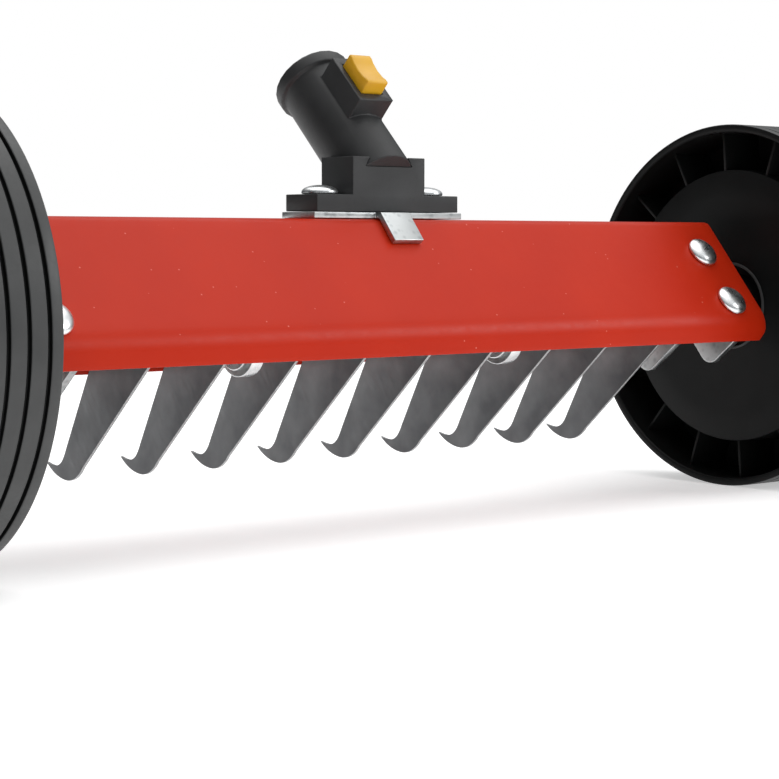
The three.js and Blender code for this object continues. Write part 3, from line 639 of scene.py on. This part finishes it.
# %% [markdown]
# ## Side brackets
#
# Each end of the hood is bolted to a channel of thick zinc-plated sheet that carries the
# wheel's axle and one end of the blade axle. From below its two webs show as grey lobes.
# Each web and the base between them is a plate, joined where the bend would be.

# %% Side brackets
BRACKET = {"sheet": 4.0, "inner": 185.0, "outer": 221.0, "length": 53.0}
GANG_Y, GANG_Z = -13.0, 88.5
WHEEL_Z = 100.0


def slope_point(along, depth):
    """A side-view point measured up the hood's front slope, and square into the hood."""
    y = FRONT_Y + along * math.cos(SLOPE) + depth * math.sin(SLOPE)
    z = CREASE_Z + along * math.sin(SLOPE) - depth * math.cos(SLOPE)
    return (y, z)


def cut_to_front(outline, limit):
    """Pulls points that stand in front of a limit back to it."""
    return [(max(y, limit), z) for y, z in outline]


def web(start, depth, relief=0.0):
    """One web's outline; the relief clears the hood's round crease."""
    length = BRACKET["length"]
    seat = SHEET + SEAT_GAP
    corners = [
        slope_point(start, seat + relief), slope_point(start, depth), slope_point(length - 12, depth),
        slope_point(length, depth - 16), slope_point(length, seat),
    ]
    if relief:
        corners.append(slope_point(start + 7, seat))
    return rounded(corners, [1, 7, 3, 3, 1, 1][:len(corners)], 6, closed=True)


def make_side_bracket():
    seat, sheet, length = SHEET + SEAT_GAP, BRACKET["sheet"], BRACKET["length"]
    room = FRONT_Y + SHEET + SEAT_GAP
    base = [
        slope_point(6.5, seat), slope_point(6.5, seat + sheet),
        slope_point(length, seat + sheet), slope_point(length, seat),
    ]
    axle_hole = circle(0, WHEEL_Z, 6.3)
    gang_hole = circle(GANG_Y, GANG_Z, 5.3)
    inner, outer = BRACKET["inner"], BRACKET["outer"]
    return joined(
        "right_bracket",
        plate("inner_web", web(6.5, 58), inner, inner + sheet, 0.5, [axle_hole, gang_hole]),
        plate("outer_web", cut_to_front(web(-0.9, 43, 1.3), room), outer - sheet, outer, 0.5, [axle_hole]),
        plate("bracket_base", base, inner + 1, outer - 1, 0.3),
    )


right_bracket = make_side_bracket()
left_bracket = copied(right_bracket, "left_bracket", MIRROR)
for piece, node in ((right_bracket, "right_side_bracket"), (left_bracket, "left_side_bracket")):
    dress(piece, [zinc_sheet], "frame", [node])

# %% [markdown]
# ## Wheels
#
# Each wheel is one hollow moulding: a wide ribbed rim joined to a smooth inner disc by thin
# radial ribs, with a deep dark channel between. The body is a turned profile. The ribs repeat
# round the axle, so a tree sets one modelled rib round the channel.

# %% Wheel body
WHEEL = {"radius": 100.0, "width": 47.0, "inner_x": 242.0, "pitch": 8.7}
CHANNEL_FLOOR = 36.0


def tread():
    """The rim's outside from its inner edge to its outer edge, a groove at every pitch."""
    radius, width, pitch = WHEEL["radius"], WHEEL["width"], WHEEL["pitch"]
    count = int((width - pitch) / pitch) + 1
    first = (width - (count - 1) * pitch) / 2
    run = [(radius - 1.2, 0), (radius - 0.35, 0.35), (radius, 1.2)]
    for i in range(count):
        middle = first + i * pitch
        run += [
            (radius, middle - 1.25), (radius - 0.25, middle - 0.95), (radius - 1.9, middle - 0.7),
            (radius - 2.3, middle), (radius - 1.9, middle + 0.7), (radius - 0.25, middle + 0.95),
            (radius, middle + 1.25),
        ]
    return run + [(radius, width - 1.2), (radius - 0.35, width - 0.35), (radius - 1.2, width)]


def make_wheel_body():
    inside = [
        (9.2, 3.0), (16.4, 3.0), (17, 3.6), (17, 11.4), (17.6, 12), (22.0, 12), (22.6, 11.4), (22.6, 5.6),
        (23.2, 5.1), (23.8, 5.3), (24.1, 6.1), (30, 6.2), (60, 6.2), (74.0, 6.2), (75.0, 6.6),
        (75.3, 7.6), (75.6, CHANNEL_FLOOR - 1), (76.4, CHANNEL_FLOOR),
        (94.6, CHANNEL_FLOOR), (95.3, CHANNEL_FLOOR - 1), (95.8, 1.0), (96.3, 0.2), (97.2, 0),
    ]
    outside = [
        (96.8, 47.0), (95.4, 46.9), (94.4, 46.2), (93.6, 44.0), (92.6, 43.5), (89.5, 43.5),
        (88.5, 43.0), (87.8, 41.6), (86.8, 41.0), (44.0, 41.0), (42.8, 41.4), (42.0, 43.0),
        (41.0, 43.5), (33.4, 43.5), (32.3, 43.3), (32.0, 42.4), (32.0, 30.5), (31.0, 29.5), (9.2, 29.5),
    ]
    body = turned("wheel_body", inside + tread() + outside, 144)
    return moved(body, at(WHEEL["inner_x"], 0, 0))


def make_rib(length, thickness, x_from, x_to, middle):
    """One rib above the axle, to be copied round it; its edge towards +X is the thicker one."""
    shape = bmesh.new()
    bmesh.ops.create_cube(shape, size=1)
    for vert in shape.verts:
        vert.co.x = (x_from if vert.co.x < 0 else x_to) * MM
        draft = 0.75 if vert.co.x < (x_from + x_to) / 2 * MM else 1.1
        vert.co.y *= thickness * draft * MM
        vert.co.z = (middle + vert.co.z * length) * MM
    mesh = bpy.data.meshes.new("rib")
    shape.to_mesh(mesh)
    shape.free()
    rib = new_piece("rib_plain", mesh)
    edge = rib.modifiers.new("edge", "BEVEL")
    edge.width = 0.3 * MM
    edge.segments = 2
    return settled(rib, "rib")


def make_wheel(name, rib_start):
    x = WHEEL["inner_x"]
    inner_rib = make_rib(21.5, 2.2, x + 7.5, x + CHANNEL_FLOOR + 1, 85.4)
    ribbed = grown("wheel_ribbed", ring_tree, {
        "Copy": inner_rib, "Count": 16, "Start angle": math.radians(rib_start), "Finish": wheel_plastic,
    }, make_wheel_body())
    face_rib = make_rib(45.5, 2.2, x + 43.3, x + 40.5, 65.2)
    wheel = grown(name, ring_tree, {
        "Copy": face_rib, "Count": 12, "Start angle": 0.0, "Finish": wheel_plastic,
    }, ribbed)
    bpy.data.objects.remove(inner_rib)
    bpy.data.objects.remove(face_rib)
    return moved(wheel, at(0, 0, WHEEL_Z))


def paint_sheen_on_lands(wheel):
    """Gives the tread's raised bands and the hub's lip the second, lighter material, a painted highlight for
    the sheen they catch.
    """
    for face in wheel.data.polygons:
        radius = math.hypot(face.center.y, face.center.z - WHEEL_Z * MM)
        land = radius > (WHEEL["radius"] - 0.45) * MM
        lip = 22.5 * MM < radius < 24.2 * MM and abs(face.center.x) < (WHEEL["inner_x"] + 6.2) * MM
        face.material_index = 1 if land or lip else 0


right_wheel = make_wheel("right_wheel_moulding", -4.5)
left_turned = make_wheel("left_wheel_turned", 4.5)
left_wheel = copied(left_turned, "left_wheel_moulding", MIRROR)
bpy.data.objects.remove(left_turned)
for wheel, side in ((right_wheel, "right_wheel"), (left_wheel, "left_wheel")):
    paint_sheen_on_lands(wheel)
    dress(wheel, [wheel_plastic, sheen_painted_plastic], side, [side], 28)

# %% [markdown]
# ## Hubs
#
# A long hexagon bolt is the axle. A nylon bush lines the wheel, a steel sleeve keeps it off the
# bracket, and a snap-in cap hides the nut. All of them are turned but the hexagons, which are
# small plates with a rounded rim.

# %% Hub pieces
def hexagon(y, z, across, turn=0.0):
    radius = across / math.sqrt(3)
    turns = [turn + math.pi / 3 * i for i in range(6)]
    return [(y + radius * math.cos(a), z + radius * math.sin(a)) for a in turns]


def thread(radius, x_from, x_to, pitch=1.25):
    """The zigzag of a screw thread between two places on a shank."""
    run = []
    x = x_from
    while x + pitch <= x_to:
        run += [(radius, x), (radius - 0.62, x + pitch / 2)]
        x += pitch
    return run + [(radius, x)]


def make_wheel_axle():
    face = BRACKET["inner"] - SEAT_GAP
    head = plate("axle_head", hexagon(0, 0, 17), face - 5, face, 0.7)
    nut_x = WHEEL["inner_x"] + 29.5 + SEAT_GAP
    shank = turned("axle_shank", [
        (0, face - 1), (6, face - 1), *thread(6, nut_x - 2, nut_x + 8.2), (5.2, nut_x + 9), (0, nut_x + 9),
    ], 48, closed=False)
    return moved(joined("right_axle_bolt", head, shank), at(0, 0, WHEEL_Z))


def make_hub_cap():
    x = WHEEL["inner_x"]
    seat = 39.5
    profile = [
        (0, seat + 2), (28.7, seat + 2), (28.7, seat - 5), (31.4, seat - 5), (31.7, seat - 4.6),
        (31.7, seat + 3.0), (31.4, seat + 3.7), (30.6, seat + 4.2), (27, seat + 4.9), (24.6, seat + 5.3),
        (24.1, seat + 4.8), (23.2, seat + 4.7), (22.6, seat + 5.6), (18, seat + 6.1), (12, seat + 6.6),
        (6, seat + 6.9), (0, seat + 7.0),
    ]
    cap = turned("hub_cap", profile, 72, closed=False)
    return moved(cap, at(x, 0, WHEEL_Z))


def make_hub_pieces():
    x = WHEEL["inner_x"]
    nut_x = x + 29.5 + SEAT_GAP
    bush = turned("bush", [
        (8.2, x + 3), (8.7, x + 3.4), (8.7, x + 29.1), (8.2, x + 29.5), (6.3, x + 29.5), (6.3, x + 3),
    ], 48)
    outer, inner_x, outer_x = 9.0, BRACKET["outer"] + SEAT_GAP, x + 3 - SEAT_GAP
    sleeve = turned("sleeve", [
        (6.3, inner_x), (outer - 0.4, inner_x), (outer, inner_x + 0.4), (outer, outer_x - 0.4),
        (outer - 0.4, outer_x), (6.3, outer_x),
    ], 48)
    nut = plate("nut", hexagon(0, 0, 19), nut_x, nut_x + 7, 0.8, [circle(0, 0, 6.2)])
    return [moved(piece, at(0, 0, WHEEL_Z)) for piece in (bush, sleeve, nut)]


bush, sleeve, axle_nut = make_hub_pieces()
HUB_ROWS = [
    (make_wheel_axle(), "wheel_axle", bright_zinc, "zinc_fastener", False),
    (sleeve, "axle_spacer", bright_zinc, "zinc_fastener", False),
    (axle_nut, "axle_nut", bright_zinc, "zinc_fastener", False),
    (bush, "wheel_bush", bush_nylon, "bush_nylon", True),
    (make_hub_cap(), "hub_cap", cap_plastic, "cap_plastic", True),
]
for right, node, finish, slot_name, turns_with_wheel in HUB_ROWS:
    right.name = f"right_{node}_fine"
    left = copied(right, f"left_{node}_fine", MIRROR)
    for side, piece in (("right", right), ("left", left)):
        body = f"{side}_wheel" if turns_with_wheel else "frame"
        dress(piece, [finish], body, [f"{side}_{node}"])

# %% [markdown]
# ## Blades
#
# Nine sickle blades are sheared from 1.5 mm plate and hang on one axle. One blade is drawn with
# smooth curves, and a tree sets it out along the axle at an even pitch. The rim of each blade
# was sheared and ground, so it is brighter than the dark tempered faces.

# %% Blades
PITCH = 39.5
BLADES = 9


def bezier(p0, p1, p2, p3, steps=12):
    run = []
    for k in range(1, steps + 1):
        t = k / steps
        w = ((1 - t) ** 3, 3 * t * (1 - t) ** 2, 3 * t * t * (1 - t), t ** 3)
        run.append(tuple(sum(a * b for a, b in zip(w, axis)) for axis in zip(p0, p1, p2, p3)))
    return run


def blade_outline():
    """A sickle blade's outline measured from the axle; its point faces the person."""
    run = [(24, 0.5), (49.8, -46.2)]
    run += bezier(run[-1], (52, -50.8), (54.6, -54.2), (60, -53.9))
    run += bezier(run[-1], (62.3, -53.7), (64.3, -53.3), (66.2, -52.8), 6)
    run += bezier(run[-1], (61.5, -57.2), (55, -59.7), (49, -59.9))
    run += bezier(run[-1], (43.5, -60), (39, -57.2), (35.9, -53.2))
    run += [(-22, -1.5)]
    run += bezier(run[-1], (-24, 12), (-13, 20), (-2, 20))
    run += bezier(run[-1], (9, 20), (18.5, 10.5), (24, 0.5))
    return run[:-1]


blade = plate("blade", blade_outline(), -0.75, 0.75, 0.16, [circle(0, 0, 5.3)])
first_x = -(BLADES - 1) / 2 * PITCH
blades = grown("sickle_blades", row_tree, {
    "Copy": blade, "Count": BLADES, "First": (first_x * MM, 0, 0), "Step": (PITCH * MM, 0, 0),
    "Finish": blade_steel,
})
bpy.data.objects.remove(blade)
moved(blades, at(0, GANG_Y, GANG_Z))
bright_edges(blades)
dress(blades, [blade_steel, sheared_edge], "blade_gang",
      [f"blade_{i + 1}" for i in range(BLADES)])

# %% [markdown]
# ## Axle, sleeves and hangers
#
# Sleeves on the axle keep the blades apart. Two flat hangers come down from the hood to carry
# the long axle, each between a pair of flanged sleeves whose rims show under the hood.

# %% Axle and sleeves
HANGER_GAPS = (1, 5)
HANGER_SHIFT = 1.5  # to the right of the middle of the space
HANGER_HALF = 3.25
BLADE_SEAT = 1.05  # half a blade and a gap


def axle_piece(name, profile, steps=48, closed=True):
    return moved(turned(name, profile, steps, closed), at(0, GANG_Y, GANG_Z))


def make_plain_sleeve(x):
    start, end = x + BLADE_SEAT, x + PITCH - BLADE_SEAT
    return [(5.3, start), (6.6, start), (7, start + 0.4), (7, end - 0.4), (6.6, end), (5.3, end)]


def make_flanged_sleeve(x, way):
    """A sleeve that starts at a blade and ends in a flange against a hanger."""
    seat = PITCH / 2 + way * HANGER_SHIFT - HANGER_HALF - SEAT_GAP
    run = [
        (5.3, BLADE_SEAT), (6.6, BLADE_SEAT), (7, 1.45), (7, seat - 1.6), (10.1, seat - 1.6),
        (10.5, seat - 1.2), (10.5, seat - 0.4), (10.1, seat), (5.3, seat),
    ]
    return [(radius, x + way * along) for radius, along in run]


def make_sleeves():
    made = []
    for i in range(BLADES - 1):
        x = first_x + i * PITCH
        if i in HANGER_GAPS:
            made.append((f"spacer_{i + 1}_left", make_flanged_sleeve(x, 1)))
            made.append((f"spacer_{i + 1}_right", make_flanged_sleeve(x + PITCH, -1)))
        else:
            made.append((f"spacer_{i + 1}", make_plain_sleeve(x)))
    return made


for node, profile in make_sleeves():
    piece = axle_piece(node + "_fine", profile)
    dress(piece, [bright_zinc], "blade_gang", [node])

axle_low, axle_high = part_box("blade_axle")
end = axle_high.x / MM
long_axle = axle_piece("long_axle", [
    (0, -end), (4.3, -end), (5, -end + 0.7), (5, end - 0.7), (4.3, end), (0, end),
], 48, closed=False)
dress(long_axle, [bright_zinc], "blade_gang", ["blade_axle"])

for side, sign in (("right", 1), ("left", -1)):
    x = sign * (BRACKET["inner"] + BRACKET["sheet"] + 1.4)
    ring = axle_piece(f"{side}_clip", [
        (5.3, x - 1), (7.6, x - 1), (8, x - 0.6), (8, x + 0.6), (7.6, x + 1), (5.3, x + 1),
    ])
    dress(ring, [spring_wire], "blade_gang", [f"{side}_axle_ring"])

# %% Hangers
def hanger_outline():
    low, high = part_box("left_hanger")
    left, right = low.y / MM, high.y / MM
    top = high.z / MM
    slope = math.tan(SLOPE)
    roof_y, roof_z = slope_point(0, SHEET + 0.4)
    front_top_y = min(right, roof_y + (top - roof_z) / slope)
    left_z = roof_z + (left - roof_y) * slope
    arc = [
        (GANG_Y + 13.6 * math.cos(a), GANG_Z + 13.6 * math.sin(a))
        for a in (math.pi + math.pi * k / 24 for k in range(25))
    ]
    return [(right, top), (front_top_y, top), (left, left_z), *arc]


for side in ("left", "right"):
    low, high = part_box(f"{side}_hanger")
    piece = plate(f"{side}_hanger_bar", hanger_outline(), low.x / MM, high.x / MM, 0.6,
                  [circle(GANG_Y, GANG_Z, 5.3)])
    bright_edges(piece)
    dress(piece, [zinc_sheet, bright_zinc], "frame", [f"{side}_hanger"])

# %% [markdown]
# ## Springs
#
# A coil of hard wire round each end of the axle brings the blades back to rest. The coil tree
# makes both from their sizes. The small spring that lifts the button is inside the socket, so
# it stays the CAD solid and only gets its finish, further down.

# %% Springs
for side, sign in (("right", 1), ("left", -1)):
    low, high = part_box(f"{side}_return_spring")
    inner_x = (low.x if sign > 0 else -high.x) / MM + 1
    coil = grown(f"{side}_return_coil", coil_tree, {
        "Turns": 5.5, "Radius": 6.5 * MM, "Length": 17 * MM, "Wire radius": 1.0 * MM,
        "Leg start": (17 * MM, -6.5 * MM, 0), "Leg end": (17 * MM, -6.5 * MM, 20 * MM),
        "Finish": spring_wire,
    })
    moved(coil, at(inner_x, GANG_Y, GANG_Z))
    if sign < 0:
        mirrored = copied(coil, "mirrored", MIRROR)
        bpy.data.objects.remove(coil)
        coil = mirrored
        coil.name = f"{side}_return_coil"
    dress(coil, [spring_wire], "frame", [f"{side}_return_spring"])

# %% [markdown]
# ## Bolts and nuts
#
# Domed carriage bolts hold the brackets and the socket. Their low bright heads are the most
# visible fasteners. Two lengths of bolt, with grooves for a thread, and one nut are modelled,
# and set down square to the sheet wherever the CAD model has one.

# %% Bolts and nuts
BOLT_PLACES = {"right": 205.8, "left": -209.0}
NUT_HEIGHT = 6.5
THREAD_END = 4  # what stands out past a nut
SADDLE_SHEET = 3
FOOT_HEIGHT = 8


def make_dome_bolt(name, length, nut_from):
    """A carriage bolt along X with its head's seat at 0 and the head on the +X side."""
    dome = [(8.7 * math.cos(a), 0.8 + 3.4 * math.sin(a)) for a in
            (math.pi / 2 * k / 12 for k in range(12))]
    run = [(0, -length), (3.4, -length), *thread(4, -length + 0.4, -nut_from), (4, 0), (8.4, 0), (8.7, 0.3)]
    return turned(name, run + dome + [(0, 4.2)], 64, closed=False)


def make_hex_nut(name):
    """A nut along X, its top face at 0, lying on the -X side."""
    return plate(name, hexagon(0, 0, 13), -NUT_HEIGHT, 0, 0.7, [circle(0, 0, 4.15, 24)])


def slope_seat(x, along):
    """Stands a piece made along X on the hood's front slope."""
    y, z = slope_point(along, 0)
    outward = Vector((0, -math.sin(SLOPE), math.cos(SLOPE)))
    turn = outward.to_track_quat("X", "Z").to_matrix().to_4x4()
    return at(x, y, z) @ turn


UPRIGHT = Vector((0, 0, 1)).to_track_quat("X", "Y").to_matrix().to_4x4()
side_bolt = make_dome_bolt("side_bolt", SHEET + BRACKET["sheet"] + NUT_HEIGHT + THREAD_END, 8)
side_nut = make_hex_nut("side_nut")
for side, x in BOLT_PLACES.items():
    for level, along in (("lower", 11.4), ("upper", 44.2)):
        seat = slope_seat(x, along)
        bolt = copied(side_bolt, f"{side}_{level}_carriage_bolt", seat @ at(SEAT_GAP, 0, 0))
        dress(bolt, [bright_zinc], "frame", [f"{side}_{level}_bolt"])
        nut_seat = SHEET + SEAT_GAP + BRACKET["sheet"] + SEAT_GAP
        nut = copied(side_nut, f"{side}_{level}_hex_nut", seat @ at(-nut_seat, 0, 0))
        dress(nut, [bright_zinc], "frame", [f"{side}_{level}_nut"])

SOCKET_BOLT_X = 33.0
FOOT_TOP = TOP_Z + SEAT_GAP + SADDLE_SHEET + SEAT_GAP + FOOT_HEIGHT
socket_bolt = make_dome_bolt(
    "socket_bolt", FOOT_HEIGHT + SADDLE_SHEET + SHEET + NUT_HEIGHT + THREAD_END, 12,
)
for side, sign in (("right", 1), ("left", -1)):
    seat = at(sign * SOCKET_BOLT_X, top_middle_y, FOOT_TOP + SEAT_GAP) @ UPRIGHT
    bolt = copied(socket_bolt, f"{side}_socket_carriage_bolt", seat)
    dress(bolt, [bright_zinc], "frame", [f"{side}_socket_bolt"])
    seat = at(sign * SOCKET_BOLT_X, top_middle_y, TOP_Z - SHEET - SEAT_GAP) @ UPRIGHT
    nut = copied(side_nut, f"{side}_socket_hex_nut", seat)
    dress(nut, [bright_zinc], "frame", [f"{side}_socket_nut"])
for spare in (side_bolt, side_nut, socket_bolt):
    bpy.data.objects.remove(spare)

# %% [markdown]
# ## Socket, saddle and button
#
# The handle clicks into a moulded socket on a steel saddle. These shapes are unions of tubes
# and blocks, so they come from the CAD solids themselves: loose triangles are merged, flat
# areas cleaned and every hard edge rounded, as a mould maker would.

# %% Softened copies
def softened(node, name, width, segments=3):
    """A copy of a CAD solid with its hard edges rounded."""
    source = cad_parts[node]
    shape = bmesh.new()
    shape.from_mesh(source.data)
    bmesh.ops.remove_doubles(shape, verts=shape.verts, dist=1e-5)
    bmesh.ops.dissolve_limit(
        shape, angle_limit=math.radians(1.5), verts=shape.verts, edges=shape.edges,
    )
    mesh = bpy.data.meshes.new(name)
    shape.to_mesh(mesh)
    shape.free()
    piece = new_piece(name + "_raw", mesh)
    edge = piece.modifiers.new("edge", "BEVEL")
    edge.width = width * MM
    edge.segments = segments
    edge.limit_method = "ANGLE"
    edge.angle_limit = math.radians(35)
    edge.use_clamp_overlap = True
    return settled(piece, name)


dress(softened("handle_socket", "socket_moulding", 0.6), [socket_plastic], "frame",
      ["handle_socket"], 35)
dress(softened("socket_foot", "foot_moulding", 0.6), [socket_plastic], "frame",
      ["socket_foot"], 35)
dress(softened("handle_saddle", "saddle_plate", 0.4), [zinc_sheet], "frame",
      ["handle_saddle"], 35)
dress(softened("release_button", "thumb_button", 0.8), [button_plastic], "release_button",
      ["release_button"], 35)
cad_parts["button_spring"].data.materials.clear()
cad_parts["button_spring"].data.materials.append(spring_wire)

# %% [markdown]
# ## Floor, light and camera
#
# The tool stands on a plain pale floor under two large soft lamps. The world lights everything
# gently; towards the camera it is plain white, so the object stands clear.

# %% Floor
def make_floor():
    shape = bmesh.new()
    bmesh.ops.create_grid(shape, x_segments=2, y_segments=2, size=6)
    mesh = bpy.data.meshes.new("floor")
    shape.to_mesh(mesh)
    shape.free()
    floor = new_piece("floor", mesh)
    material, tree, shader, place = surface("pale_floor", Roughness=0.8, Specular_IOR_Level=0.2,
                                           Emission_Color=colour("#FFFFFF"), Emission_Strength=0.45)
    cloud = noise(tree, place, 250)
    tree.links.new(tints(tree, cloud, [(0.3, "#F1F1F1"), (0.7, "#F6F6F6")]), shader.inputs["Base Color"])
    mesh.materials.append(material)
    return floor


floor = make_floor()


# %% Lamps and world
def lamp(name, place, target, size, power):
    data = bpy.data.lights.new(name, "AREA")
    data.shape = "RECTANGLE"
    data.size, data.size_y = size
    data.energy = power
    made = bpy.data.objects.new(name, data)
    bpy.context.scene.collection.objects.link(made)
    made.location = place
    made.rotation_euler = (Vector(target) - Vector(place)).to_track_quat("-Z", "Y").to_euler()
    return made


lamp("overhead", (0.3, 0.3, 2.0), (0, 0, 0.05), (2.6, 2.2), 20)
lamp("front_right", (2.2, -2.2, 1.45), (0, 0, 0.1), (1.5, 0.9), 30)

world = bpy.data.worlds.new("studio")
bpy.context.scene.world = world
world.use_nodes = True
sky = world.node_tree
sky.nodes.clear()
path = put(sky, "ShaderNodeLightPath")
heading = put(sky, "ShaderNodeTexCoord").outputs["Generated"]
height = put(sky, "ShaderNodeSeparateXYZ", {"Vector": heading}).outputs["Z"]
shade = tints(sky, height, [(0.0, "#505254"), (0.4, "#8E9092"), (0.85, "#F0F0F0")])
seen = put(sky, "ShaderNodeBackground", {"Color": colour("#FFFFFF"), "Strength": 1.0})
# Less light comes from the rear left, and more from the front right.
aside = put(sky, "ShaderNodeVectorMath", {0: heading, 1: (0.7, -0.7, 0)}, operation="DOT_PRODUCT")
power = put(sky, "ShaderNodeMapRange", {
    "Value": aside.outputs["Value"], "From Min": -0.8, "From Max": 0.8, "To Min": 0.5, "To Max": 1.5,
})
felt = put(sky, "ShaderNodeBackground", {"Color": shade, "Strength": power.outputs["Result"]})
both = put(sky, "ShaderNodeMixShader", {
    0: path.outputs["Is Camera Ray"], 1: felt.outputs[0], 2: seen.outputs[0],
})
put(sky, "ShaderNodeOutputWorld", {"Surface": both.outputs[0]})
bpy.context.scene.view_settings.view_transform = "Standard"

# %% Camera
camera = bpy.data.objects.new("camera", bpy.data.cameras.new("camera"))
bpy.context.scene.collection.objects.link(camera)
camera.location = (-0.6537, -0.7731, 0.1342)
camera.rotation_euler = (math.radians(90 - 3.95), 0, math.radians(-40.21))
camera.data.sensor_width = 36
camera.data.lens = 97.36
bpy.context.scene.camera = camera
